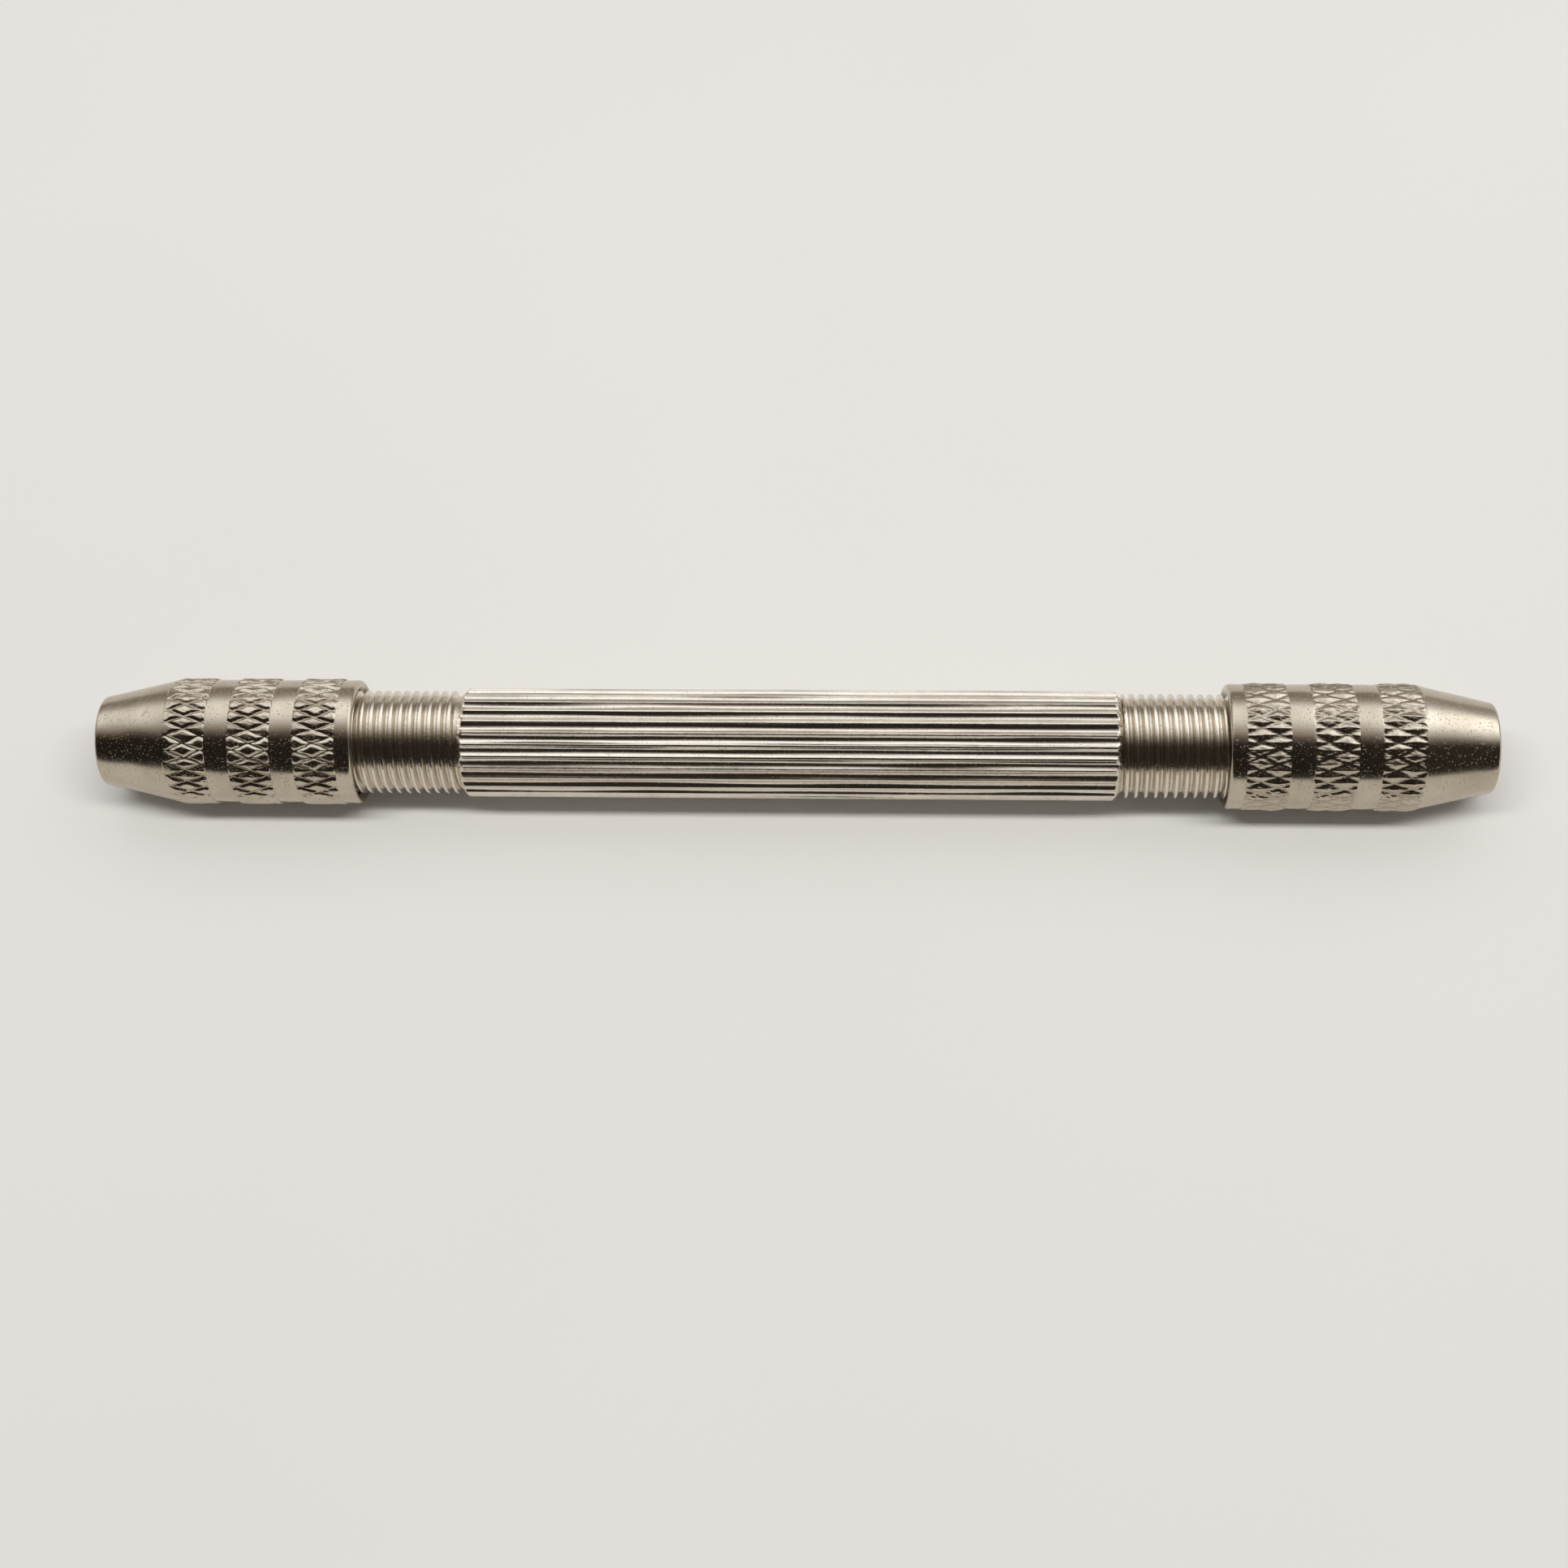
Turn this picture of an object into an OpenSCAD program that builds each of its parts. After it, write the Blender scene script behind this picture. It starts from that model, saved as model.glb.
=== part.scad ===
// Double-ended pin vise: a fluted handle with a threaded stub at each end, two diamond-knurled chuck caps and
// two reversible split collets. The tool lies along X, with the middle of the barrel at the origin.
// All sizes are in millimetres.
// The caps stand as far off the barrel as when a drill is being changed: one turn tighter and the jaws close.
// Diameters follow from the largest bore outwards, through the walls and clearances named here.

/* [Barrel] */
// Length of the fluted barrel between the two stubs
barrel_l = 47.3; // [30:0.1:80]
// How far the barrel's ridges stand out past the thread
barrel_rise = 0.175; // [0.1:0.005:0.6]
// Number of flutes round the barrel
flute_count = 28; // [16:1:32]
// Depth of a flute
flute_depth = 0.3; // [0.1:0.02:0.4]
// Width of the crest that is left between two flutes
ridge_w = 0.07; // [0.05:0.01:0.3]
// Width of a flute at its floor
flute_floor_w = 0.04; // [0.04:0.02:0.2]
// Chamfer at each end of the barrel
barrel_chamfer = 0.45; // [0.2:0.05:0.55]

/* [Threaded stubs] */
// Wall between a collet's bore in the handle and the bottom of the thread
stub_wall = 0.6; // [0.3:0.05:1.2]
// Depth of the thread, and of the relief groove beside it
thread_depth = 0.4; // [0.25:0.05:0.6]
// Advance of a cap in one turn
thread_pitch = 0.7; // [0.5:0.05:1]
// Width of the relief groove between the barrel and the thread
relief_w = 0.3; // [0.2:0.05:0.6]
// Length of stub that shows between the barrel and a cap
thread_shown = 7.45; // [2:0.05:12]
// Length of stub that a cap covers
engaged_l = 6.9; // [5:0.1:9]

/* [Chuck caps] */
// Length of a cap
cap_l = 18.9; // [16:0.1:24]
// Wall between a cap's thread and its smooth rings
cap_wall = 0.69; // [0.5:0.01:1.2]
// How far the knurling stands out past the smooth rings
knurl_rise = 0.11; // [0:0.01:0.2]
// Wall of the nose round its hole, at the tip
nose_wall = 1.2; // [0.8:0.1:1.8]
// How far the taper runs back across the last knurled band
taper_overrun = 0.75; // [0:0.05:1.2]
// Thread left free ahead of the stub when the cap is one turn tighter
thread_room = 1; // [0.2:0.1:2]
// Rounding of the rim's outer edge
rim_round = 0.3; // [0.1:0.05:0.35]
// Chamfer of the nose's outer edge
nose_chamfer = 0.2; // [0.1:0.05:0.4]
// Chamfer at the mouths of the bores
mouth_chamfer = 0.3; // [0.1:0.05:0.35]

/* [Knurling] */
// Distance from a cap's rim to its first knurled band
band_start = 1.17; // [0.8:0.01:1.6]
// Width of a knurled band
band_w = 3.03; // [2:0.01:4]
// Distance from one band to the next
band_step = 4.7; // [3.8:0.05:5.7]
// Number of diamonds round a band
diamond_count = 28; // [20:2:34]
// Length of one cell of the lattice, tip to tip
diamond_l = 2.5; // [2:0.05:3]
// Depth of the lattice grooves below the tips of the diamonds
knurl_depth = 0.16; // [0.12:0.01:0.32]
// Width of a lattice groove at its floor
knurl_floor_w = 0.14; // [0.12:0.01:0.3]
// Width of the flat that is left on top of a diamond
knurl_crest_w = 0.44; // [0.1:0.01:0.5]

/* [Collets] */
// Bore of the left collet at its working end
left_jaw_d = 1.6; // [0.8:0.1:3.2]
// Bore of the left collet at its other end
left_spare_d = 0.8; // [0.8:0.1:3.2]
// Bore of the right collet at its working end
right_jaw_d = 2.4; // [0.8:0.1:4]
// Bore of the right collet at its other end
right_spare_d = 3.2; // [0.8:0.1:4]
// Wall of a collet's head and middle round the largest of the bores
collet_wall = 1.1; // [0.9:0.05:1.6]
// Wall of the necks where the jaws flex
neck_wall = 0.55; // [0.4:0.05:0.8]
// How far a collet reaches into the handle
heel_depth = 10.4; // [8:0.1:13]
// How far the collet's tip lies inside the nose
tip_recess = 0.8; // [0.6:0.05:1.2]
// Length of the tapered jaw faces
jaw_cone_l = 3; // [2.5:0.1:3.6]
// Angle between a jaw face and the axis
jaw_angle = 15; // [12:0.5:18]
// Length of the straight head behind the taper
head_l = 1.3; // [1:0.1:2]
// Length of the straight middle that the handle's bore guides
middle_l = 5; // [3:0.1:6]
// How far the crossed slits run into the middle from each end
slit_run_in = 0.1; // [0:0.1:1]
// Width of a slit
slit_w = 0.5; // [0.3:0.05:0.6]

/* [Fits] */
// Clearance on the radius between a cap's thread and the stub's
thread_gap = 0.05; // [0.02:0.01:0.1]
// Clearance on the radius between a collet and the handle's bore
guide_gap = 0.05; // [0.02:0.01:0.1]
// Clearance on the radius between a collet's head and the cap's bore
head_gap = 0.3; // [0.2:0.05:0.5]
// Clearance between the jaw faces and the cone in the cap, square to the faces
cone_gap = 0.03; // [0.02:0.01:0.06]
// Clearance left behind the collet when its cap is one turn tighter
seat_gap = 0.03; // [0.02:0.01:0.1]
// Clearance on the radius round the largest drill in the hole of the nose
nose_gap = 0.4; // [0.2:0.05:0.5]
// Clearance on the radius round the largest wire in the hole through the handle
wire_gap = 0.1; // [0.05:0.05:0.3]
// Half the point angle of the drill that made the handle's bores
drill_half_angle = 59; // [45:1:70]

/* [Hidden] */
$fn = 96;

// Small overlap, for solids that are joined
eps = 0.02;
// How far a cutting shape runs past what it cuts
past = 1;
nickel = [0.76, 0.74, 0.70];
steel = [0.66, 0.65, 0.63];

// Radii, from the largest bore outwards
largest_r = max(left_jaw_d, left_spare_d, right_jaw_d, right_spare_d) / 2;
neck_r = largest_r + neck_wall;
collet_r = largest_r + collet_wall;
guide_r = collet_r + guide_gap;
wire_r = largest_r + wire_gap;
relief_r = guide_r + stub_wall;
thread_r = relief_r + thread_depth;
barrel_r = thread_r + barrel_rise;
cap_thread_r = thread_r + thread_gap;
cap_r = cap_thread_r + cap_wall;
knurl_r = cap_r + knurl_rise;
cap_bore_r = collet_r + head_gap;
nose_hole_r = largest_r + nose_gap;
nose_r = nose_hole_r + nose_wall;

// Knurled bands, from a cap's rim
band_count = 3;
last_band_start = band_start + (band_count - 1) * band_step;

// Places along X
rim_x = barrel_l / 2 + thread_shown;
stub_end = rim_x + engaged_l;
cap_thread_end = stub_end + thread_pitch + thread_room;
nose_x = rim_x + cap_l;
tip_x = nose_x - tip_recess;
heel_x = stub_end - heel_depth;
collet_l = tip_x - heel_x;
taper_x = rim_x + last_band_start + band_w - taper_overrun;

// The taper runs from the knurling's diameter at taper_x to the nose
taper_slope = (knurl_r - nose_r) / (nose_x - taper_x);

// Radius of the jaw faces at the collet's tip
tip_r = collet_r - jaw_cone_l * tan(jaw_angle);

// End of the straight part of the handle's bore: the heel meets the drilled cone there, one turn tighter
bore_end = heel_x - thread_pitch - seat_gap + (guide_r - tip_r) / tan(drill_half_angle);

// Knurling
band_starts = [for (i = [0 : band_count - 1]) rim_x + band_start + i * band_step];
last_band = band_starts[band_count - 1];
last_band_end = last_band + band_w;
// How far the space for the diamonds stands above their tips
band_headroom = 0.15;
floor_r = knurl_r - knurl_depth;
cell_w = PI * 2 * knurl_r / diamond_count;
// Distance from the middle of a cell to its edge, square to that edge
cell_reach = cell_w * diamond_l / 2 / norm([cell_w, diamond_l]);
crest_share = knurl_crest_w / 2 / cell_reach;
foot_share = 1 - knurl_floor_w / 2 / cell_reach;
// How much deeper the flat feet of the diamonds lie than they need to, for their corners to be in the blank
foot_sink = 0.004;
root_depth = cell_w * cell_w / 8 / floor_r + foot_sink;
// Least distance between the feet of two neighbours, as a share of a cell
feet_apart = 0.01;
// Feet spread below the groove floor. Those of broad, low diamonds stop short of each other here, and leave
// the floor a little wider than knurl_floor_w.
root_limit = (floor_r - root_depth) * tan(180 / diamond_count) * 2 / cell_w - feet_apart;
root_share = min(root_limit, foot_share + (foot_share - crest_share) * root_depth / knurl_depth);

// Turns a profile, drawn as points of [x, radius], about the X axis
module revolve(points) {
    rotate([0, 90, 0]) rotate_extrude() polygon([for (p = points) [p[1], p[0]]]);
}

// Barrel

function polar(r, a) = [r * cos(a), r * sin(a)];

// One flute and the ridge beside it, as the corners of the barrel's section
function flute_points(i) =
    let (
        pitch_a = 360 / flute_count,
        middle = i * pitch_a,
        edge_a = pitch_a / 2 - asin(ridge_w / 2 / barrel_r),
        floor_a = asin(flute_floor_w / 2 / (barrel_r - flute_depth))
    ) [
        polar(barrel_r, middle - edge_a),
        polar(barrel_r - flute_depth, middle - floor_a),
        polar(barrel_r - flute_depth, middle + floor_a),
        polar(barrel_r, middle + edge_a)
    ];

module fluted_bar() {
    rotate([0, 90, 0])
        translate([0, 0, -barrel_l / 2])
            linear_extrude(barrel_l)
                polygon([for (i = [0 : flute_count - 1]) each flute_points(i)]);
}

// The barrel's outline with its end chamfers, standing clear of the ridges between them
module barrel_outline() {
    clear = 0.3;
    end = barrel_l / 2 + eps;
    end_r = barrel_r - barrel_chamfer - eps;
    run = barrel_chamfer + eps + clear;
    revolve([
        [-end, 0], [-end, end_r], [-end + run, end_r + run],
        [end - run, end_r + run], [end, end_r], [end, 0]
    ]);
}

// Stubs and the core that joins them through the barrel
module core() {
    start = barrel_l / 2 + relief_w;
    chamfer = thread_depth;
    revolve([
        [-stub_end, 0], [-stub_end, relief_r], [-stub_end + chamfer, thread_r],
        [-start - chamfer / 2, thread_r], [-start, relief_r],
        [start, relief_r], [start + chamfer / 2, thread_r],
        [stub_end - chamfer, thread_r], [stub_end, relief_r], [stub_end, 0]
    ]);
}

module handle_bores() {
    cone_end = bore_end - (guide_r - wire_r) / tan(drill_half_angle);
    out = stub_end + past;
    lip = mouth_chamfer;
    revolve([
        [-out, 0], [-out, guide_r + lip + out - stub_end], [-stub_end + lip, guide_r],
        [-bore_end, guide_r], [-cone_end, wire_r],
        [cone_end, wire_r], [bore_end, guide_r],
        [stub_end - lip, guide_r], [out, guide_r + lip + out - stub_end], [out, 0]
    ]);
}

module handle() {
    color(nickel) difference() {
        union() {
            intersection() {
                fluted_bar();
                barrel_outline();
            }
            core();
        }
        handle_bores();
    }
}

// Chuck caps, drawn on the right

// Radius of the taper at x
function taper_r(x) = knurl_r - (x - taper_x) * taper_slope;

// The turned outside: smooth rings, with a channel down to the groove floor where each band will stand
module cap_blank() {
    rim_arc = [for (a = [90 : -15 : 0])
        [rim_x + rim_round * (1 - sin(a)), cap_r - rim_round * (1 - cos(a))]];
    channels = [for (x = band_starts) each [
        [x + eps, cap_r], [x + eps, floor_r],
        [x + band_w - eps, floor_r], [x + band_w - eps, x < last_band ? cap_r : taper_r(x + band_w - eps)]
    ]];
    edge_x = nose_x - nose_chamfer;
    revolve(concat(
        [[nose_x, 0], [rim_x, 0]],
        rim_arc,
        channels,
        [[edge_x, taper_r(edge_x)], [nose_x, nose_r - nose_chamfer]]
    ));
}

// Space that the bands fill: their width, and a hair above the taper where it runs across the last one
module band_space() {
    low = floor_r - 2 * root_depth;
    high = knurl_r + band_headroom;
    hair = eps;
    bend_x = taper_x - (band_headroom - hair) / taper_slope;
    for (i = [0 : band_count - 2])
        let (start = band_starts[i], end = start + band_w)
            revolve([[start, low], [start, high], [end, high], [end, low]]);
    revolve([
        [last_band, low], [last_band, high], [bend_x, high],
        [last_band_end, taper_r(last_band_end) + hair], [last_band_end, low]
    ]);
}

// One raised diamond: a low pyramid with a flat top, standing on the groove floor at the top of the circle
module diamond() {
    corners = [[1, 0], [0, 1], [-1, 0], [0, -1]];
    function outline(share, height) =
        [for (c = corners) [c[0] * share * diamond_l / 2, c[1] * share * cell_w / 2, height]];
    polyhedron(
        points = concat(outline(root_share, floor_r - root_depth), outline(crest_share, knurl_r)),
        faces = [[0, 1, 2, 3], [7, 6, 5, 4], [1, 0, 4, 5], [2, 1, 5, 6], [3, 2, 6, 7], [0, 3, 7, 4]]
    );
}

// The diamonds of one band. Columns lie half a cell apart, and each second one is turned by half a diamond.
// shift says where the first column lies, as a share of a column from the band's middle.
module band_of_diamonds(start, shift) {
    middle = start + band_w / 2;
    step = diamond_l / 2;
    reach = band_w / 2 + foot_share * step;
    outermost = ceil(reach / step);
    for (c = [-outermost : outermost])
        let (x = (c + shift) * step)
            if (abs(x) < reach)
                for (i = [0 : diamond_count - 1])
                    rotate([(i + (c % 2 == 0 ? 0 : 0.5)) * 360 / diamond_count, 0, 0])
                        translate([middle + x, 0, 0]) diamond();
}

module cap_bores() {
    near = rim_x - past;
    far = nose_x + past;
    cone_offset = cone_gap / cos(jaw_angle);
    head_x = tip_x - jaw_cone_l;
    cone_x = head_x - (cap_bore_r - collet_r - cone_offset) / tan(jaw_angle);
    hole_x = head_x + (collet_r + cone_offset - nose_hole_r) / tan(jaw_angle);
    lip = mouth_chamfer;
    revolve([
        [near, 0], [near, cap_thread_r + lip + past], [rim_x + lip, cap_thread_r],
        [cap_thread_end, cap_thread_r], [cap_thread_end, cap_bore_r],
        [cone_x, cap_bore_r], [hole_x, nose_hole_r], [nose_x - lip, nose_hole_r],
        [far, nose_hole_r + lip + past], [far, 0]
    ]);
}

module chuck_cap(shift) {
    color(nickel) difference() {
        union() {
            cap_blank();
            intersection() {
                union() {
                    for (x = band_starts) band_of_diamonds(x, shift);
                }
                band_space();
            }
        }
        cap_bores();
    }
}

// Knurling rolled on with a column in the middle of each band
module left_cap() mirror([1, 0, 0]) chuck_cap(0);

// Knurling rolled on with a column each side of the middle
module right_cap() chuck_cap(0.5);

// Collets, drawn on the right

module collet_body() {
    head = jaw_cone_l + head_l;
    shoulder = (collet_l - middle_l) / 2;
    // Each shoulder slopes at 45 degrees from the neck
    slope = collet_r - neck_r;
    half = [
        [0, tip_r], [jaw_cone_l, collet_r], [head, collet_r], [head + slope, neck_r],
        [shoulder - slope, neck_r], [shoulder, collet_r]
    ];
    revolve(concat(
        [[heel_x, 0]],
        [for (p = half) [heel_x + p[0], p[1]]],
        [for (i = [len(half) - 1 : -1 : 0]) [tip_x - half[i][0], half[i][1]]],
        [[tip_x, 0]]
    ));
}

// Two drillings that meet in the middle
module collet_bores(jaw_d, spare_d) {
    middle = (tip_x + heel_x) / 2;
    revolve([
        [heel_x - past, 0], [heel_x - past, spare_d / 2], [middle, spare_d / 2],
        [middle, jaw_d / 2], [tip_x + past, jaw_d / 2], [tip_x + past, 0]
    ]);
}

// Crossed slits that part each end into four jaws
module slits() {
    wide = 2 * collet_r + past;
    slit_l = (collet_l - middle_l) / 2 + slit_run_in;
    for (x = [heel_x - past, tip_x - slit_l], turn = [45, 135])
        rotate([turn, 0, 0])
            translate([x, -slit_w / 2, -wide / 2])
                cube([slit_l + past, slit_w, wide]);
}

module collet(jaw_d, spare_d) {
    color(steel) difference() {
        collet_body();
        collet_bores(jaw_d, spare_d);
        slits();
    }
}

module left_collet() mirror([1, 0, 0]) collet(left_jaw_d, left_spare_d);

module right_collet() collet(right_jaw_d, right_spare_d);

handle();
left_cap();
right_cap();
left_collet();
right_collet();
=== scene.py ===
"""Looks of the double-ended pin vise: fluted handle with cut threads, knurled chuck caps, split collets.

Pieces are drawn for the right-hand end, in millimetres, and turned half a turn about Y for the left-hand
end, so that every thread stays right-handed.
"""

import math

import bpy
import numpy as np
from mathutils import Matrix

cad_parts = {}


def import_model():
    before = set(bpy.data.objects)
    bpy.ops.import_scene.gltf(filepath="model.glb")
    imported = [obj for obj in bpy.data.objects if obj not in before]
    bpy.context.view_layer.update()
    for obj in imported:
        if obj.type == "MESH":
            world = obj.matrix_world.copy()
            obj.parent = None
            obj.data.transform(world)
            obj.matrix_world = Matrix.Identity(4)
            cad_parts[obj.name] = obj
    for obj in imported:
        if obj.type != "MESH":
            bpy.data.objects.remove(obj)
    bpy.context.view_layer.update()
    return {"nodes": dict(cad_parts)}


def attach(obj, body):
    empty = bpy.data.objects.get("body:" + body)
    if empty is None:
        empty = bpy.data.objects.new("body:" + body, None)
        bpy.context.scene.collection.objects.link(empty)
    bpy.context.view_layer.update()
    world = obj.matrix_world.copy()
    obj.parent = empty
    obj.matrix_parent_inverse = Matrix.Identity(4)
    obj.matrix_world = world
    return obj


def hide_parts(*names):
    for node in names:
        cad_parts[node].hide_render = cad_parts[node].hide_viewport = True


MM = 0.001

# Handle
BARREL_L = 47.3
BARREL_R = 3.925
BARREL_CHAMFER = 0.45
FLUTE_COUNT = 28
FLUTE_DEPTH = 0.21
# One flute from its middle to the middle of the ridge: share of the half pitch, and share of the depth
FLUTE_SHAPE = [(0.0, 1.0), (0.2, 0.95), (0.38, 0.81), (0.55, 0.585), (0.66, 0.38), (0.76, 0.16),
               (0.82, 0.035), (0.88, 0.004), (1.0, 0.0)]
# Rows of points along the barrel: evenly over the middle, and at these distances from each end face
BARREL_ROWS = 96
BARREL_ROWS_FROM = 0.62
END_ROWS = [0.5, 0.44, 0.34, 0.25, 0.16, 0.08, 0.0]
# How unevenly the flutes run: degrees round the turn, and millimetres up and down
RIDGE_WANDER = 0.06
RIDGE_TREMBLE = 0.02
DEPTH_WANDER = 0.012
CREST_WEAR = 0.002
CHAMFER_TREMBLE = 0.012
# The wear follows the tremble, which is read this much closer together along the axis
WEAR_STRETCH = 1.7
# The wear reaches down to this share of the depth. The last stretch of the barrel runs straight.
WORN_DEPTH = 0.2
STRAIGHT_END = 0.1
STUB_END = 38.0
STUB_CHAMFER = 0.12
THREAD_STOP = 0.45
GUIDE_R = 2.75
GUIDE_MOUTH = 0.3
BORE_END = 27.383
WIRE_R = 1.7
# Rows that only divide the long bores, and half the gap in the wire hole that the last strip closes
GUIDE_ROWS = (34.0, 30.5)
WIRE_ROW = 13.0
WIRE_HALF_GAP = 0.05
DRILL_HALF_ANGLE = math.radians(59)

# Threads
PITCH = 0.7
CREST_R = 3.75
ROOT_R = 3.34
# The helix starts inside the barrel's shoulder, and rises to its full height over THREAD_RISE outside it
SHOULDER_X = BARREL_L / 2 + 0.03
THREAD_START = BARREL_L / 2 - 0.28
THREAD_RISE = 0.12
# Share of a turn over which a thread fades out, and also in where no shoulder stands
THREAD_FADE = 0.3
# What would lie behind the shoulder is laid flat before it, in rows this far apart
FLAT_STEP = 0.002
# The plain ring after a thread's last row stands this far off
THREAD_GAP = 0.02
# The relief beside the shoulder widens by this much where it meets the barrel
RELIEF_ROUND = 0.07
# Rows of one turn of thread: place within the pitch, and height above the root
THREAD_ROWS = [(0.0, 0.0), (0.09, 0.03), (0.21, 0.44), (0.36, 0.94), (0.5, 1.0), (0.64, 0.94),
               (0.79, 0.44), (0.91, 0.03)]

# Caps
RIM_X = 31.1
NOSE_X = 50.0
LAND_R = 4.49
KNURL_R = 4.6
NOSE_R = 3.2
TAPER_X = 43.95
TAPER_SLOPE = (KNURL_R - NOSE_R) / (NOSE_X - TAPER_X)
CAP_THREAD_R = 3.8
CAP_THREAD_END = 39.7
CAP_BORE_R = 3.0
# The cap's thread is this much shallower than the stub's, and stays at least this far from the end of its
# bore and from the mouth
THREAD_PLAY = 0.03
THREAD_RUNOUT = 0.25
THREAD_LEAD = 0.1
CONE_X = 45.196
HOLE_X = 48.928
HOLE_R = 2.0
RIM_ROUND = 0.3
RIM_ANGLES = (84, 66, 48, 32, 16, 0)
RIM_LAND = 0.55
LAND_DROOP = 0.03
MOUTH = 0.3
# Rows on the smooth ring before a band of knurling, as distances from the band
FIRST_LAND_ROWS = (0.3, 0.09, 0.02)
LAND_ROWS = (1.65, 1.58, 1.4, 1.15, 0.83, 0.52, 0.27, 0.09, 0.02)
# Middle of that ring, measured the same way, and its half width. It droops towards both edges.
LAND_MIDDLE = 0.835
LAND_HALF = 0.815
# Edge of the mouth: distance in from the rim, and out from the thread's radius
MOUTH_EDGE = [(0.04, 0.26), (0.0, 0.33)]
# Rows on the taper: distances after the last band, then how far from the band and the nose the wide rows
# stay and how far apart they stand, then distance back from the nose's end and in from the taper
TAPER_FIRST_ROWS = (0.02, 0.1)
TAPER_MARGIN = 0.35
TAPER_STEP = 0.3
TAPER_LAST_ROWS = [(0.16, 0.0), (0.13, 0.005)]
# Edge of the nose: distance back from its end, and in from its radius
NOSE_EDGE = [(0.03, 0.08), (0.008, 0.11), (0.0, 0.15)]
# Edge of the hole in the nose: distance back from its end, and out from the hole's radius
HOLE_EDGE = [(0.0, 0.36), (0.02, 0.29), (0.26, 0.03), (0.34, 0.0)]
# How unevenly the rings and the taper are turned, in millimetres
LAND_WAVE = 0.0022
TAPER_WAVE = 0.003

# Knurling
BAND_STARTS = [RIM_X + 1.17, RIM_X + 5.87, RIM_X + 10.57]
BAND_W = 3.03
DIAMONDS = 28
CELL_L = 2.5
KNURL_DEPTH = 0.16
# Form of the diamonds on each cap: where the groove's floor ends and the crest begins, as shares of the
# way from the middle of the groove to the middle of the diamond, and how far the diamond is a pyramid
LEFT_DIAMONDS = (0.04, 0.44, 0.28)
RIGHT_DIAMONDS = (0.147, 0.54, 0.8)
CELL_STEPS = 24
# How much the tip of a pyramid is blunted
TIP_BLUNT = 0.004
# Towards the edge of a band the diamonds sink to this share of their height, over this width
BAND_EDGE_SHARE = 0.36
BAND_EDGE_W = 0.24
# The first and last row of a band stand this far inside its edges
BAND_INSET = 0.015
# Unevenness of the rolling: millimetres along the axis, shares of half a cell, and a share of the height
DRIFT_ALONG = 0.03
DRIFT_AROUND = 0.05
JITTER_ALONG = 0.02
JITTER_AROUND = 0.05
UNEVEN_CREST = 0.05
# Millimetres between the places where the two directions read the same unevenness
DRIFT_OFFSET = 3
JITTER_OFFSET = 5
# Millimetres: how far the crests stay below the knurl's radius, lumps, and play over the taper
CREST_BELOW = 0.008
LUMP = 0.003
TAPER_PLAY = 0.01
# Painted shade and dirt lie below this share of a diamond's height
SHADE_AND_DIRT_BELOW = 1 / 1.6

# Columns round a piece
ROUND = 112
KNURL_ROUND = DIAMONDS * CELL_STEPS

# The paper lies this far below the knurling
FLOOR_GAP = 0.01
FLOOR_Z = -KNURL_R - FLOOR_GAP
FLOOR_REACH = 3.0

# Size of a sum of waves, first step along an outline, and the sharpest edge that is shaded smooth
RIPPLE_SCALE = 1.6
FIRST_TRAVEL = 0.2
SHARP_ANGLE = math.radians(42)


def smooth(t):
    t = np.clip(t, 0.0, 1.0)
    return t * t * (3 - 2 * t)


class Ripple:
    """Smooth seeded unevenness over a turned surface, about 1.1 in root mean square.
    It closes on itself round the turn."""

    def __init__(self, seed, along, around, count=14):
        rng = np.random.RandomState(seed)
        self.k = rng.uniform(-1, 1, count) * 2 * math.pi / along
        self.n = rng.randint(-around, around + 1, count)
        self.phase = rng.uniform(0, 2 * math.pi, count)
        self.scale = RIPPLE_SCALE / math.sqrt(count)

    def at(self, x, turn):
        x, turn = np.broadcast_arrays(np.asarray(x, float), np.asarray(turn, float))
        total = np.zeros(x.shape)
        for k, n, phase in zip(self.k, self.n, self.phase):
            total += np.sin(k * x + 2 * math.pi * n * turn + phase)
        return total * self.scale


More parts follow.
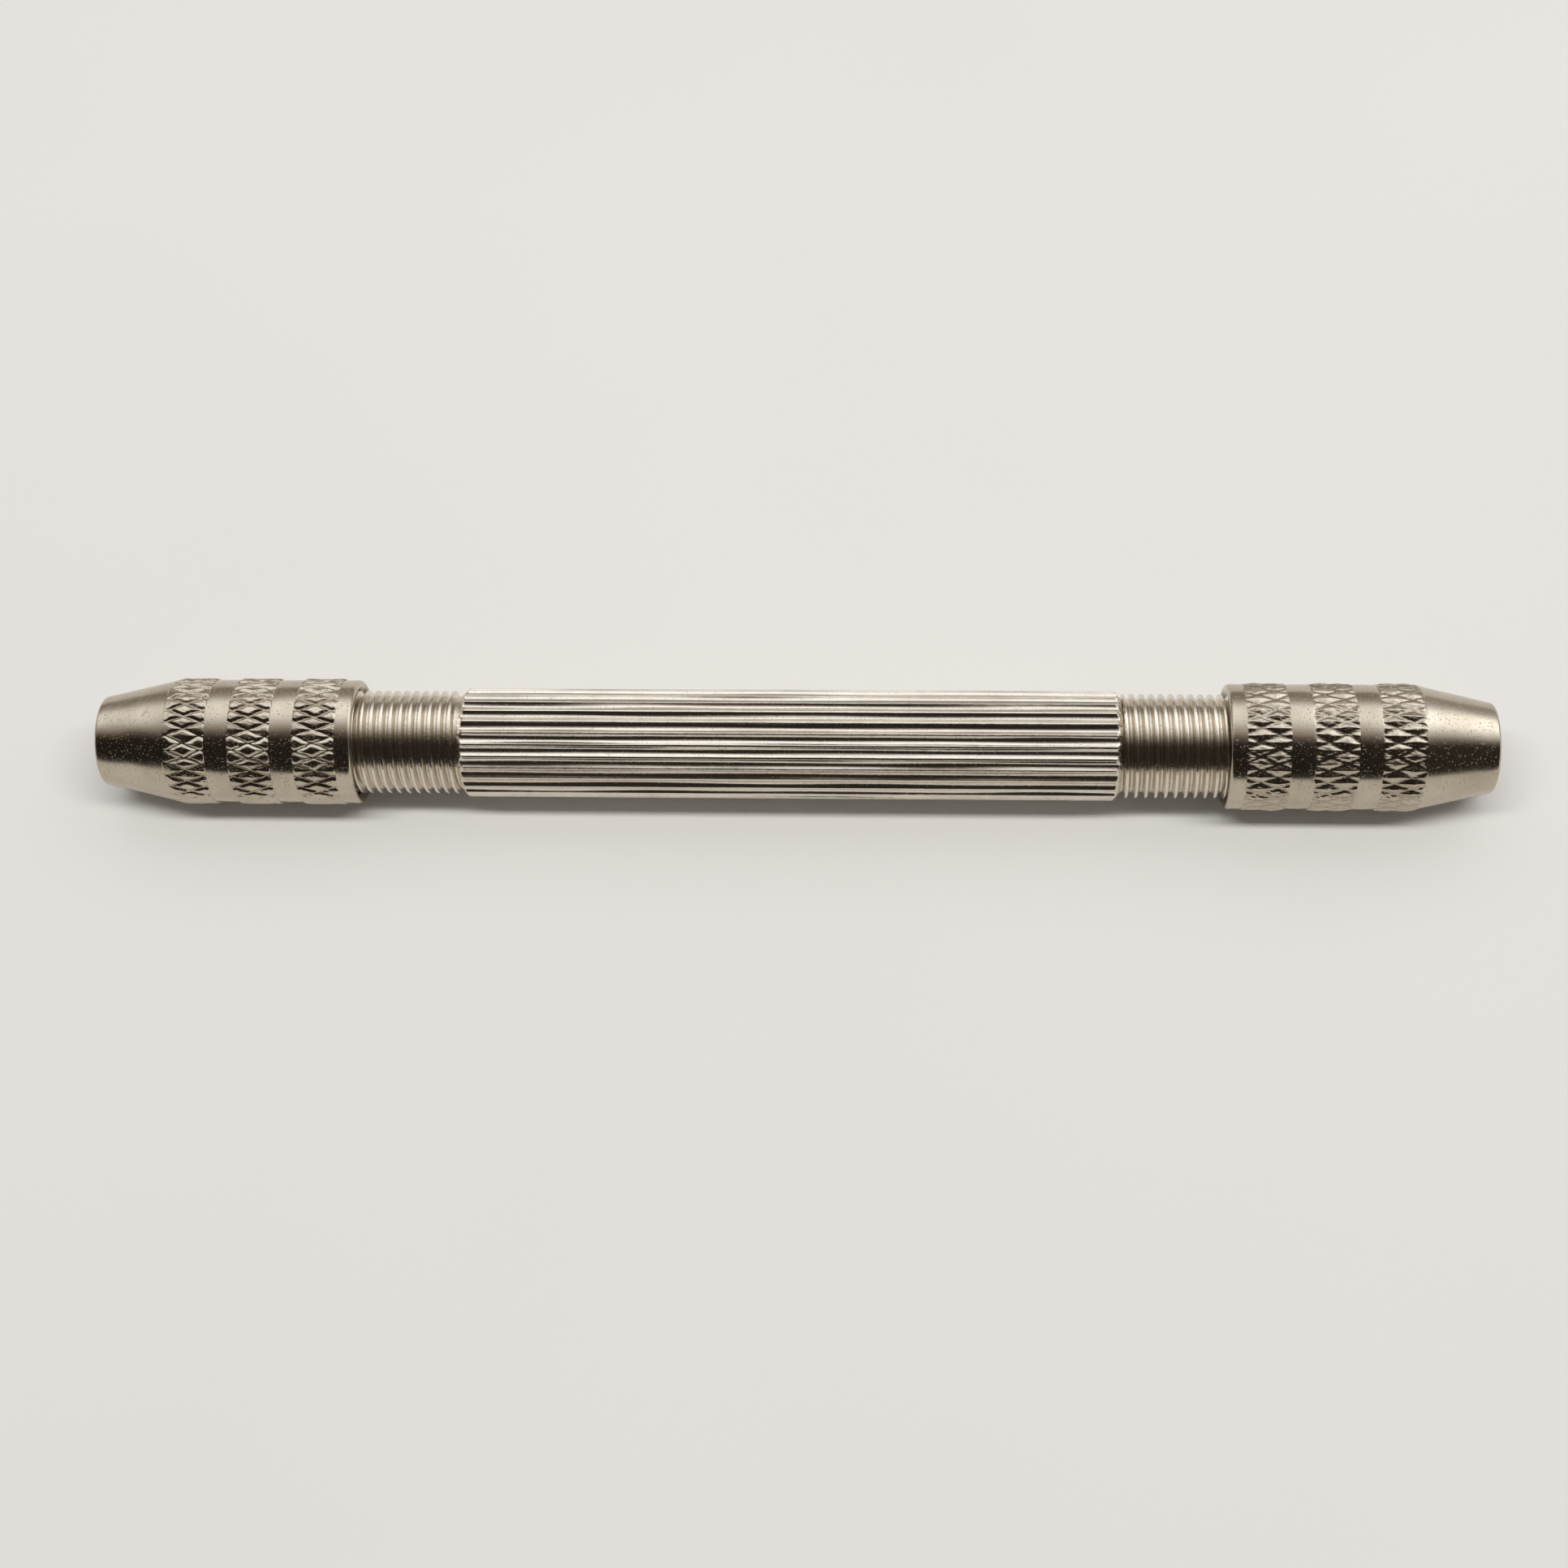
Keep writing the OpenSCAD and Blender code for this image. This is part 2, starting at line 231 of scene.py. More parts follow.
class Skin:
    """A closed surface made of rings round the X axis. Each point keeps how low it lies, for the painted
    shade and dirt in the recesses.
    """

    def __init__(self, length):
        self.length = length
        self.points = []
        self.lows = []
        self.count = 0
        self.faces = []
        self.marks = []

    def ring(self, x, r, turns, travel, low=0.0, flip=False):
        """Adds one ring and returns it. travel is how far along the drawn outline it lies."""
        n = len(turns)
        x, r, low = (np.broadcast_to(np.asarray(v, float), n) for v in (x, r, low))
        a = 2 * math.pi * turns
        side = -1.0 if flip else 1.0
        self.points.append(np.column_stack([side * x, r * np.cos(a), side * r * np.sin(a)]))
        self.lows.append(low)
        indices = np.arange(self.count, self.count + n)
        self.count += n
        along = np.broadcast_to(np.asarray(travel, float) / self.length, n)
        return {"i": indices, "u": along, "v": np.asarray(turns, float)}

    def corners(self, ring, j):
        """Vertex, place along the outline and place round the turn of column j, which may pass the seam."""
        n = len(ring["i"])
        return ring["i"][j % n], ring["u"][j % n], ring["v"][j % n] + (j >= n)

    def add(self, *corner_lists):
        """Triangles from three lists of corners."""
        self.faces.append(np.column_stack([c[0] for c in corner_lists]))
        self.marks.append(np.stack([np.column_stack([c[1], c[2]]) for c in corner_lists], axis=1))

    def strip(self, a, b, other=None):
        """Joins two rings of as many columns. other marks quads to split along their other diagonal."""
        n = len(a["i"])
        j = np.arange(n)
        other = np.zeros(n, bool) if other is None else other
        for pick, corners in (
            (~other, ((a, 0), (a, 1), (b, 1))), (~other, ((a, 0), (b, 1), (b, 0))),
            (other, ((a, 0), (a, 1), (b, 0))), (other, ((a, 1), (b, 1), (b, 0))),
        ):
            if pick.any():
                self.add(*[self.corners(ring, j[pick] + step) for ring, step in corners])

    def thin_out(self, a, b):
        """Joins a fine ring to a coarser one that follows it."""
        k = len(a["i"]) // len(b["i"])
        j = np.arange(len(b["i"]))
        half = k // 2
        for i in range(k):
            near = 0 if i < half else 1
            self.add(self.corners(a, k * j + i), self.corners(a, k * j + i + 1), self.corners(b, j + near))
        self.add(self.corners(a, k * j + half), self.corners(b, j + 1), self.corners(b, j))

    def fill_out(self, a, b):
        """Joins a coarse ring to a finer one that follows it."""
        k = len(b["i"]) // len(a["i"])
        j = np.arange(len(a["i"]))
        half = k // 2
        for i in range(k):
            near = 0 if i < half else 1
            self.add(self.corners(a, j + near), self.corners(b, k * j + i + 1), self.corners(b, k * j + i))
        self.add(self.corners(a, j), self.corners(a, j + 1), self.corners(b, k * j + half))

    def polygon(self, corners):
        """A fan over a list of single corners."""
        for i in range(1, len(corners) - 1):
            self.add(*[tuple(np.array([v]) for v in corners[k]) for k in (0, i, i + 1)])

    def thread(self, before, x, turns_count, inward, radius_at, travel, flip=False, wall=None):
        """Threads on the helix: rows climb one pitch in a turn, so row i meets row i + m at the seam.
        radius_at(height, share) gives the radius, where share fades the first and last tooth in and out.
        inward is for the thread inside a cap, which is drawn from its far end back to the mouth.
        wall is where a shoulder stands: what would lie behind it is drawn out flat just before it."""
        n, m = ROUND, len(THREAD_ROWS)
        rows = THREAD_ROWS
        if inward:
            rows = [((p - 0.5) % 1.0, h) for p, h in rows]
            rows = sorted(((1 - p) % 1.0, h) for p, h in rows)
        turns = np.arange(n) / n
        total = turns_count * m
        rings = []
        for i in range(total + 1):
            place, height = rows[i % m]
            tooth = i // m
            along = PITCH * (tooth + place)
            age = tooth + (1 - turns if inward else turns)
            xs = x - along + PITCH * turns if inward else x + along + PITCH * turns
            if wall is None:
                share = smooth(age / THREAD_FADE) * smooth((turns_count - age) / THREAD_FADE)
            else:
                share = smooth((xs - wall) / THREAD_RISE) * smooth((turns_count - age) / THREAD_FADE)
                xs = np.maximum(xs, wall + FLAT_STEP * (i + 1))
            r = radius_at(height, share)
            rings.append(self.ring(xs, r, turns, travel + along, low=1 - height, flip=flip))
        inner = np.arange(n - 1)
        last = n - 1

        def seam(ring, j):
            index, u, v = ring["i"][j], ring["u"][j], ring["v"][j]
            return index, u, v + (1.0 if j == 0 else 0.0)

        def join(a, b):
            self.add(self.corners(a, inner), self.corners(a, inner + 1), self.corners(b, inner + 1))
            self.add(self.corners(a, inner), self.corners(b, inner + 1), self.corners(b, inner))

        for i in range(total):
            a, b = rings[i], rings[i + 1]
            join(a, b)
            step = -m if inward else m
            if 0 <= i + step and i + 1 + step <= total:
                next_a, next_b = rings[i + step], rings[i + 1 + step]
                self.polygon([seam(a, last), seam(next_a, 0), seam(next_b, 0), seam(b, last)])
        first, end = rings[0], rings[-1]
        join(before, first)
        if inward:
            after_x = x - PITCH * turns_count - THREAD_GAP
        else:
            after_x = x + PITCH * (turns_count + 1) + THREAD_GAP
        far = self.ring(after_x, radius_at(1.0 if inward else 0.0, 1.0), turns,
                        travel + PITCH * (turns_count + 1), low=1.0, flip=flip)
        join(end, far)
        if inward:
            left = [seam(rings[i], last) for i in range(m, -1, -1)]
            self.polygon([seam(before, last), seam(before, 0), seam(first, 0)] + left)
            right = [seam(rings[i], 0) for i in range(total - m, total + 1)]
            self.polygon([seam(end, last)] + right + [seam(far, 0), seam(far, last)])
        else:
            right = [seam(rings[i], 0) for i in range(m + 1)]
            self.polygon([seam(before, last), seam(before, 0)] + right + [seam(first, last)])
            left = [seam(rings[i], last) for i in range(total, total - m - 1, -1)]
            self.polygon([seam(end, 0), seam(far, 0), seam(far, last)] + left)
        return far

    def outline(self, before, points, travel, low=0.0, flip=False):
        """Follows a list of [x, radius] with plain rings. Returns the last ring and the travel so far."""
        turns = np.arange(ROUND) / ROUND
        previous = None
        for x, r in points:
            if previous is None:
                travel += FIRST_TRAVEL
            else:
                travel += math.hypot(x - previous[0], r - previous[1])
            previous = (x, r)
            ring = self.ring(x, r, turns, travel, low=low, flip=flip)
            if before is not None:
                self.strip(before, ring)
            before = ring
        return before, travel

    def build(self, name, turned=False):
        """The Blender object, with its UV layer and the attribute of how low each point lies, for the
        painted shade and dirt. turned gives the left-hand twin.
        """
        points = np.vstack(self.points) * MM
        if turned:
            points = points * np.array([-1.0, 1.0, -1.0])
        faces = np.vstack(self.faces).astype(np.int32)
        marks = np.vstack(self.marks)
        keep = (faces[:, 0] != faces[:, 1]) & (faces[:, 1] != faces[:, 2]) & (faces[:, 0] != faces[:, 2])
        faces, marks = faces[keep], marks[keep]
        mesh = bpy.data.meshes.new(name)
        mesh.vertices.add(len(points))
        mesh.vertices.foreach_set("co", points.ravel())
        mesh.loops.add(faces.size)
        mesh.loops.foreach_set("vertex_index", faces.ravel())
        mesh.polygons.add(len(faces))
        mesh.polygons.foreach_set("loop_start", np.arange(0, faces.size, 3, dtype=np.int32))
        mesh.polygons.foreach_set("loop_total", np.full(len(faces), 3, dtype=np.int32))
        mesh.update(calc_edges=True)
        mesh.validate()
        layer = mesh.uv_layers.new(name="OFBake")
        layer.data.foreach_set("uv", np.clip(marks, 0, 1).reshape(-1))
        shade_and_dirt = mesh.attributes.new("low", "FLOAT", "POINT")
        shade_and_dirt.data.foreach_set("value", np.concatenate(self.lows).astype(np.float32))
        mesh.polygons.foreach_set("use_smooth", np.ones(len(faces), bool))
        mesh.set_sharp_from_angle(angle=SHARP_ANGLE)
        obj = bpy.data.objects.new(name, mesh)
        bpy.context.scene.collection.objects.link(obj)
        return obj


# Handle

def flute_columns():
    """Places round the turn of the barrel's columns, and the share of the flute's depth at each."""
    half = 0.5 / FLUTE_COUNT
    rising = [(-share * half, depth) for share, depth in FLUTE_SHAPE[::-1]]
    falling = [(share * half, depth) for share, depth in FLUTE_SHAPE[1:-1]]
    columns = [(i / FLUTE_COUNT + place, depth)
               for i in range(FLUTE_COUNT) for place, depth in rising + falling]
    return np.array(columns).T


def barrel(skin):
    """The fluted barrel, from its left end to its right end. Returns both end rings and the travel."""
    turns, depth = flute_columns()
    wander = Ripple(seed=11, along=9.0, around=40)
    tremble = Ripple(seed=12, along=1.3, around=60)
    deeper = Ripple(seed=13, along=14.0, around=20)
    half = BARREL_L / 2
    inside = np.linspace(-half + BARREL_ROWS_FROM, half - BARREL_ROWS_FROM, BARREL_ROWS)
    ends = half - np.array(END_ROWS)
    places = np.concatenate([-ends[::-1], inside, ends])
    near_crest = np.clip(1 - depth / WORN_DEPTH, 0, 1)
    first = previous = None
    for x in places:
        shift = (wander.at(x, turns) * RIDGE_WANDER + tremble.at(x, turns) * RIDGE_TREMBLE) / 360
        r = BARREL_R - depth * (FLUTE_DEPTH + DEPTH_WANDER * deeper.at(x, turns))
        r = r - CREST_WEAR * near_crest * (1 + tremble.at(x * WEAR_STRETCH, turns))
        limit = BARREL_R - BARREL_CHAMFER + (half - abs(x))
        r = np.minimum(r, limit + CHAMFER_TREMBLE * tremble.at(x, turns) * (abs(x) < half))
        ring = skin.ring(x, r, turns + shift * (abs(x) < half - STRAIGHT_END), x + half, low=depth)
        if previous is not None:
            skin.strip(previous, ring)
        first = ring if first is None else first
        previous = ring
    return first, previous, BARREL_L


def turned_about(ring):
    """The same ring as it is counted when seen from the other end."""
    n = len(ring["i"])
    order = (-np.arange(n)) % n
    return {"i": ring["i"][order], "u": ring["u"][order], "v": np.arange(n) / n}


def stub(skin, end_ring, travel, flip):
    """From the barrel's end: relief, thread, end face, collet bore and wire hole, to the middle."""
    half = BARREL_L / 2
    turns = np.arange(ROUND) / ROUND
    shoulder = skin.ring(half, ROOT_R + RELIEF_ROUND, turns, travel + 0.1, low=1.0, flip=flip)
    skin.thin_out(end_ring, shoulder)
    relief = skin.ring(SHOULDER_X, ROOT_R, turns, travel + 0.2, low=1.0, flip=flip)
    skin.strip(shoulder, relief)

    def radius_at(height, share):
        return ROOT_R + (CREST_R - ROOT_R) * height * share

    count = int((STUB_END - THREAD_STOP - THREAD_START) / PITCH) - 1
    travel += 0.3
    far = skin.thread(relief, THREAD_START, count, False, radius_at, travel, flip=flip, wall=SHOULDER_X)
    travel += PITCH * (count + 1)
    cone_end = BORE_END - (GUIDE_R - WIRE_R) / math.tan(DRILL_HALF_ANGLE)
    quarter = STUB_CHAMFER / 4
    end_face = [(STUB_END - STUB_CHAMFER, ROOT_R), (STUB_END - quarter, ROOT_R - quarter),
                (STUB_END, ROOT_R - STUB_CHAMFER), (STUB_END, GUIDE_R + GUIDE_MOUTH)]
    mouth = [(STUB_END - GUIDE_MOUTH / 6, GUIDE_R + GUIDE_MOUTH * 0.8), (STUB_END - GUIDE_MOUTH, GUIDE_R)]
    guide = [(x, GUIDE_R) for x in (*GUIDE_ROWS, BORE_END)]
    wire = [(x, WIRE_R) for x in (cone_end, WIRE_ROW, WIRE_HALF_GAP)]
    return skin.outline(far, end_face + mouth + guide + wire, travel, flip=flip)


def make_handle():
    skin = Skin(length=170.0)
    left, right, travel = barrel(skin)
    right_hole, travel = stub(skin, right, travel, flip=False)
    left_hole, _ = stub(skin, turned_about(left), travel, flip=True)
    skin.strip(right_hole, turned_about(left_hole))
    return skin.build("handle_turned")


# Caps

def knurl_height(x, turns, middle, shift, seed, form):
    """Height of the rolled diamonds above the groove floor, 0 to 1."""
    floor_share, crest_share, peak = form
    drift = Ripple(seed, along=7.0, around=9)
    jitter = Ripple(seed + 1, along=1.6, around=34)
    s = (x - middle + DRIFT_ALONG * drift.at(x, turns)) / (CELL_L / 2) - shift
    s = s + JITTER_ALONG * jitter.at(x + JITTER_OFFSET, turns)
    t = turns * 2 * DIAMONDS + DRIFT_AROUND * drift.at(x + DRIFT_OFFSET, turns)
    t = t + JITTER_AROUND * jitter.at(x, turns)
    p, q = s + t, s - t
    share = np.minimum(np.abs(p % 2 - 1), np.abs(q % 2 - 1))
    facet = np.clip((share - floor_share) / (crest_share - floor_share), 0, 1)
    rise = np.clip((share - floor_share) / (1 - floor_share), 0, 1)
    return (1 - peak) * facet + peak * (1 - np.sqrt((1 - rise) ** 2 + TIP_BLUNT))


def band(skin, before, start, shift, seed, form, travel):
    """One band of knurling after the smooth ring before it."""
    turns = np.arange(KNURL_ROUND) / KNURL_ROUND
    middle = start + BAND_W / 2
    step = CELL_L / CELL_STEPS
    reach = int(BAND_W / 2 / step)
    inside = [middle + k * step for k in range(-reach, reach + 1)]
    places = [start + BAND_INSET] + inside + [start + BAND_W - BAND_INSET]
    uneven = Ripple(seed + 7, along=3.0, around=24)
    lumps = Ripple(seed + 8, along=0.5, around=150)
    floor_r = KNURL_R - KNURL_DEPTH
    phase = np.arange(KNURL_ROUND)
    previous = before
    for number, x in enumerate(places):
        height = knurl_height(x, turns, middle, shift, seed, form)
        from_edge = min(x - start, start + BAND_W - x)
        arc = math.sqrt(1 - (1 - min(from_edge / BAND_EDGE_W, 1.0)) ** 2)
        rounding = BAND_EDGE_SHARE + (1 - BAND_EDGE_SHARE) * arc
        crest = 1 + UNEVEN_CREST * uneven.at(x, turns)
        raised = (KNURL_DEPTH - CREST_BELOW) * height * rounding * crest
        r = np.minimum(floor_r + raised + LUMP * lumps.at(x, turns), top_at(x) + TAPER_PLAY)
        low = np.clip(1 - height / SHADE_AND_DIRT_BELOW, 0, 1)
        ring = skin.ring(x, r, turns, travel + x - start, low=low)
        steps = round((x - middle) / step + shift * CELL_STEPS / 2 + CELL_STEPS)
        if number == 0:
            skin.strip(previous, ring)
        else:
            near_p = np.abs((steps - 1 + phase) % CELL_STEPS - CELL_STEPS / 2)
            near_q = np.abs((steps - 1 - phase) % CELL_STEPS - CELL_STEPS / 2)
            skin.strip(previous, ring, other=near_p < near_q)
        previous = ring
    return previous, travel + BAND_W


def top_at(x):
    """Radius of the cap's taper, which is clear of everything before the taper begins."""
    return KNURL_R - (x - TAPER_X) * TAPER_SLOPE


def make_cap(name, shift, seed, form, turned):
    """A chuck cap, drawn on the right from its rim round the nose and back through its bores."""
    skin = Skin(length=62.0)
    turns = np.arange(KNURL_ROUND) / KNURL_ROUND
    wave = Ripple(seed + 20, along=2.6, around=12)

    mouth, travel = skin.outline(None, [(RIM_X + MOUTH, CAP_THREAD_R)], 0.0, low=0.6)
    first = mouth
    arc = [(RIM_X + RIM_ROUND * (1 - math.sin(a)), LAND_R - RIM_ROUND * (1 - math.cos(a)))
           for a in np.radians(RIM_ANGLES)]
    face = [(RIM_X + inside, CAP_THREAD_R + out) for inside, out in MOUTH_EDGE]
    ring, travel = skin.outline(mouth, face + arc, travel)
    ring, travel = skin.outline(ring, [(RIM_X + RIM_LAND, LAND_R)], travel)
    for index, start in enumerate(BAND_STARTS):
        lands = [start - back for back in (LAND_ROWS if index else FIRST_LAND_ROWS)]
        for x in lands:
            off_middle = min(abs(x - start + LAND_MIDDLE) / LAND_HALF, 1.0)
            dish = LAND_DROOP * off_middle ** 3 if index else 0.0
            r = LAND_R - dish + LAND_WAVE * wave.at(x, turns)
            fine = skin.ring(x, r, turns, travel + x - lands[0])
            if len(ring["i"]) == KNURL_ROUND:
                skin.strip(ring, fine)
            else:
                skin.fill_out(ring, fine)
            ring = fine
        travel += lands[-1] - lands[0]
        ring, travel = band(skin, ring, start, shift, seed, form, travel)
    end = BAND_STARTS[-1] + BAND_W
    for after in TAPER_FIRST_ROWS:
        x = end + after
        fine = skin.ring(x, top_at(x) + LAND_WAVE * wave.at(x, turns), turns, travel + x - end)
        skin.strip(ring, fine)
        ring = fine
    travel += TAPER_FIRST_ROWS[-1]
    few = np.arange(ROUND) / ROUND
    for number, x in enumerate(np.arange(end + TAPER_MARGIN, NOSE_X - TAPER_MARGIN, TAPER_STEP)):
        coarse = skin.ring(x, top_at(x) + TAPER_WAVE * wave.at(x, few), few, travel + x - end)
        if number == 0:
            skin.thin_out(ring, coarse)
        else:
            skin.strip(ring, coarse)
        ring = coarse
    travel += NOSE_X - 0.3 - end
    nose = [(NOSE_X - back, top_at(NOSE_X - back) - less) for back, less in TAPER_LAST_ROWS]
    nose += [(NOSE_X - back, NOSE_R - less) for back, less in NOSE_EDGE]
    hole = [(NOSE_X - back, HOLE_R + more) for back, more in HOLE_EDGE]
    hole += [(HOLE_X + 0.3, HOLE_R), (HOLE_X, HOLE_R)]
    bore = [(x, CAP_BORE_R) for x in (CONE_X, CONE_X - 0.3, CAP_THREAD_END + 0.1)]
    step = [(CAP_THREAD_END, CAP_BORE_R + 0.08), (CAP_THREAD_END, CAP_THREAD_R - 0.02),
            (CAP_THREAD_END - 0.03, CAP_THREAD_R)]
    ring, travel = skin.outline(ring, nose + hole + bore + step, travel)

    def radius_at(height, share):
        return CAP_THREAD_R - (CREST_R - ROOT_R - THREAD_PLAY) * (1 - height) * share

    # The crest line of the handle's thread nearest the far end of this one
    crest_number = math.floor((CAP_THREAD_END - THREAD_RUNOUT - THREAD_START) / PITCH - 1.5) + 0.5
    start = THREAD_START + PITCH * crest_number
    count = int((start - (RIM_X + MOUTH) - THREAD_LEAD) / PITCH)
    ring = skin.thread(ring, start, count, True, radius_at, travel)
    travel += PITCH * (count + 1)
    last = {"i": first["i"], "u": np.full(ROUND, travel / skin.length), "v": first["v"]}
    skin.strip(ring, last)
    return skin.build(name, turned=turned)


# Materials

class Nodes:
    """Short names for the nodes of one material."""

    def __init__(self, name):
        self.material = bpy.data.materials.new(name)
        self.material.use_nodes = True
        self.tree = self.material.node_tree
        self.tree.nodes.clear()

    def node(self, kind, values=None, **settings):
        made = self.tree.nodes.new(kind)
        for key, value in settings.items():
            setattr(made, key, value)
        for key, value in (values or {}).items():
            made.inputs[key].default_value = value
        return made

    def link(self, a, b):
        self.tree.links.new(a, b)

    def math(self, operation, a, b, clamp=False):
        made = self.node("ShaderNodeMath", operation=operation, use_clamp=clamp)
        for slot, value in enumerate((a, b)):
            if isinstance(value, (int, float)):
                made.inputs[slot].default_value = value
            else:
                self.link(value, made.inputs[slot])
        return made.outputs[0]

    def place(self, scale):
        """Object coordinates in millimetres, stretched by scale along each axis."""
        coordinates = self.node("ShaderNodeTexCoord")
        mapping = self.node("ShaderNodeMapping")
        mapping.inputs["Scale"].default_value = [1000 * s for s in scale]
        self.link(coordinates.outputs["Object"], mapping.inputs["Vector"])
        return mapping.outputs["Vector"]

    def noise(self, scale, detail, roughness=0.6):
        values = {"Scale": 1.0, "Detail": detail, "Roughness": roughness, "Distortion": 0.0}
        made = self.node("ShaderNodeTexNoise", values)
        self.link(self.place(scale), made.inputs["Vector"])
        return made.outputs[0]

    def ramp(self, value, stops):
        """Maps a value through (place, grey) or (place, colour) stops."""
        made = self.node("ShaderNodeValToRGB")
        elements = made.color_ramp.elements
        while len(elements) < len(stops):
            elements.new(0.5)
        for element, (place, colour) in zip(elements, stops):
            element.position = place
            red_green_blue = colour if isinstance(colour, tuple) else (colour, colour, colour)
            element.color = (*red_green_blue, 1)
        self.link(value, made.inputs["Fac"])
        return made.outputs["Color"]

    def mix(self, share, a, b):
        made = self.node("ShaderNodeMix", data_type="RGBA")
        for name, value in (("Factor_Float", share), ("A_Color", a), ("B_Color", b)):
            socket = next(s for s in made.inputs if s.identifier == name)
            if isinstance(value, (int, float)):
                socket.default_value = value
            elif isinstance(value, tuple):
                socket.default_value = (*value, 1)
            else:
                self.link(value, socket)
        return next(s for s in made.outputs if s.identifier == "Result_Color")

    def finish(self, colour, roughness, height, distance, strength=1.0, metallic=1.0):
        """Links the shader to the output. height gives a bump of up to distance."""
        shader = self.node("ShaderNodeBsdfPrincipled", {"Metallic": metallic})
        output = self.node("ShaderNodeOutputMaterial")
        self.link(shader.outputs["BSDF"], output.inputs["Surface"])
        self.link(colour, shader.inputs["Base Color"])
        self.link(roughness, shader.inputs["Roughness"])
        bump = self.node("ShaderNodeBump", {"Strength": strength, "Distance": distance})
        self.link(height, bump.inputs["Height"])
        self.link(bump.outputs["Normal"], shader.inputs["Normal"])


CAP_BRIGHT = (0.54, 0.475, 0.38)
CAP_WORN = (0.44, 0.38, 0.295)
HANDLE_BRIGHT = (0.75, 0.69, 0.595)
HANDLE_WORN = (0.65, 0.59, 0.5)
# Dark colour of the pits, and of the grime with painted shade in the recesses
GRIME_AND_SHADE = (0.13, 0.11, 0.085)
STEEL_BRIGHT = (0.46, 0.44, 0.41)
STEEL_DARK = (0.33, 0.31, 0.28)
PAPER_PALE = (0.83, 0.817, 0.796)
PAPER_DULL = (0.795, 0.782, 0.76)
# Painted shade on the front of the paper: it is mixed with this colour, by this share, and the shade clears
# towards the back at this rate a millimetre
PAPER_FRONT_SHADE = (0.5, 0.485, 0.465)
PAPER_FRONT_SHADE_SHARE = 0.16
PAPER_SHADE_CLEARS = 0.009

# Noise, as repeats a millimetre along the axis and across it
CLOUDS = (0.35, 0.35, 0.35)
SPECKS = (7.0, 7.0, 7.0)
TURNING = (16.0, 0.5, 0.5)
GRAIN = (14.0, 14.0, 14.0)
DENTS = (9.0, 5.0, 5.0)
STEEL_CLOUDS = (0.6, 0.6, 0.6)
STEEL_TURNING = (18.0, 0.6, 0.6)
PAPER_CLOUDS = (0.018, 0.018, 0.018)
PAPER_FIBRE = (1.2, 1.2, 1.2)

# Where the plate lies below its crests and on them, by how low the point lies
BELOW_CREST = [(0.02, 0.0), (0.14, 1.0)]
ON_CREST = [(0.0, 1.0), (0.07, 0.0)]
# Where painted shade and grime gather in the recesses and where pits lie, by the specks, and where metal is
# worn or darker, by the clouds
GRIME_AND_SHADE_SPECKS = [(0.38, 0.25), (0.62, 1.0)]
PIT_SPECKS = [(0.63, 0.0), (0.71, 1.0)]
WORN_CLOUDS = [(0.35, 0.0), (0.75, 1.0)]
DARK_CLOUDS = [(0.3, 0.0), (0.8, 1.0)]
PIT_TINT = 0.35
PIT_DEPTH = 1.4
GRAIN_HEIGHT = 0.35

# Roughness where there is none of the rest, and how much the clouds, marks, and the grime with its painted
# shade add
PLATE_ROUGHNESS = 0.07
CLOUD_ROUGHNESS = 0.11
MARK_ROUGHNESS = 0.07
GRIME_AND_SHADE_ROUGHNESS = 0.3
STEEL_ROUGHNESS = 0.22
STEEL_CLOUD_ROUGHNESS = 0.2
PAPER_ROUGHNESS = 0.8
PAPER_CLOUD_ROUGHNESS = 0.05
# Heights of the bumps in metres, and how strongly the paper's show
METAL_BUMP = 0.000006
PAPER_BUMP = 0.00002
PAPER_BUMP_STRENGTH = 0.15


def nickel_material(name, bright, worn, shade_and_dirt, shade_and_dirt_from, pits, lines, matte, nicks):
    """Bright nickel plate: turning marks, small pits, and grime with painted shade that darkens the recesses
    where the surface lies lower than the given threshold.
    matte is how much rougher it is below the crests, and nicks how deeply the crests are nicked."""
    n = Nodes(name)
    low = n.node("ShaderNodeAttribute", attribute_name="low").outputs["Fac"]
    clouds = n.noise(CLOUDS, detail=5)
    specks = n.noise(SPECKS, detail=3, roughness=0.5)
    marks = n.noise(TURNING, detail=3, roughness=0.65)
    grain = n.noise(GRAIN, detail=2)
    dents = n.noise(DENTS, detail=3, roughness=0.7)
    below = n.ramp(low, BELOW_CREST)
    crest = n.ramp(low, ON_CREST)
    # Painted shade with grime: the recesses darken by how low the surface lies, patchy by the specks
    grime_and_shade = n.math("MULTIPLY", n.ramp(low, [(shade_and_dirt_from, 0.0), (1.0, 1.0)]), n.ramp(specks, GRIME_AND_SHADE_SPECKS))
    grime_and_shade = n.math("MULTIPLY", grime_and_shade, shade_and_dirt, clamp=True)
    plate = n.mix(n.ramp(clouds, WORN_CLOUDS), bright, worn)
    pit = n.ramp(specks, PIT_SPECKS)
    colour = n.mix(n.math("MULTIPLY", pit, PIT_TINT * pits), plate, GRIME_AND_SHADE)
    colour = n.mix(grime_and_shade, colour, GRIME_AND_SHADE)
    roughness = n.math("ADD", n.math("MULTIPLY", clouds, CLOUD_ROUGHNESS), PLATE_ROUGHNESS)
    roughness = n.math("ADD", roughness, n.math("MULTIPLY", marks, MARK_ROUGHNESS))
    roughness = n.math("ADD", roughness, n.math("MULTIPLY", below, matte))
    roughness = n.math("ADD", roughness, n.math("MULTIPLY", grime_and_shade, GRIME_AND_SHADE_ROUGHNESS), clamp=True)
    height = n.math("ADD", n.math("MULTIPLY", marks, lines), n.math("MULTIPLY", grain, GRAIN_HEIGHT))
    height = n.math("ADD", height, n.math("MULTIPLY", n.math("MULTIPLY", crest, dents), nicks))
    height = n.math("SUBTRACT", height, n.math("MULTIPLY", pit, PIT_DEPTH * pits))
    n.finish(colour, roughness, height, METAL_BUMP)
    return n.material


